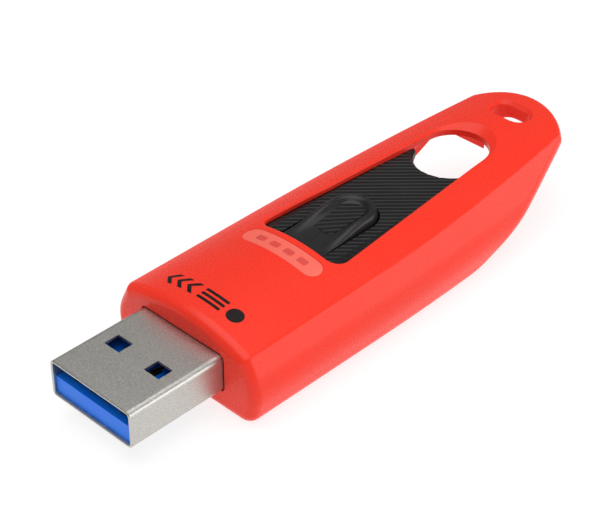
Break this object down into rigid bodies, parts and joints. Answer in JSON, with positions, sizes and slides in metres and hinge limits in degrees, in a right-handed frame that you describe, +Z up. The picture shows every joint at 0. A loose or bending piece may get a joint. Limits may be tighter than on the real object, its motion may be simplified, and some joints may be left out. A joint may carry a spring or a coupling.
{
  "type": "usb flash drive",
  "caption": "Retractable USB flash drive: a tapered casing with a window and a keyring hole, a sliding carriage with a thumb button, and a Standard-A plug.",
  "frame": {"origin": "centre of the object's box in plan, on the surface it lies on, with the plug fully out", "axes": "+X is the way the plug points, +Z is up towards the window and thumb button, +Y runs across"},
  "size_m": [0.069, 0.021, 0.0106],
  "materials": {
    "casing_red": "glossy moulded plastic",
    "carriage_black": "satin moulded plastic",
    "plug_steel": "satin nickel-plated sheet",
    "insulator_blue": "smooth moulded plastic",
    "contact_gold": "gold plated",
    "board_green": "solder mask",
    "chip_black": "moulded epoxy",
    "crystal_can": "nickel plated can",
    "ferrite_grey": "ferrite",
    "ceramic_tan": "fired ceramic"
  },
  "bodies": {
    "casing": {"upper_casing": "casing_red", "bottom_cover": "casing_red"},
    "carriage": {"carriage_upper": "carriage_black", "carriage_lower": "carriage_black", "plug_shell": "plug_steel", "plug_insulator": "insulator_blue", "contact_retainer": "insulator_blue", "circuit_board": "board_green", "flash_memory_chip": "chip_black", "controller_chip": "chip_black", "voltage_regulator": "chip_black", "crystal": "crystal_can", "power_inductor": "ferrite_grey", "coupling_capacitors": "ceramic_tan", "bypass_capacitors": "ceramic_tan", "chip_resistors": "chip_black", "vbus_contact": "contact_gold", "data_minus_contact": "contact_gold", "data_plus_contact": "contact_gold", "ground_contact": "contact_gold", "receive_minus_contact": "contact_gold", "receive_plus_contact": "contact_gold", "drain_contact": "contact_gold", "transmit_minus_contact": "contact_gold", "transmit_plus_contact": "contact_gold"},
    "thumb_button": {"thumb_button": "carriage_black"}
  },
  "joints": [
    {"name": "plug_slide", "type": "slide", "parent": "casing", "child": "carriage", "axis": [1, 0, 0], "range_m": [-0.0122, 0]},
    {"name": "button_press", "type": "hinge", "parent": "carriage", "child": "thumb_button", "pos_m": [0.006, 0, 0.0084], "axis": [0, -1, 0], "range_deg": [0, 3], "stiffness_Nm_per_rad": 0.5}
  ]
}
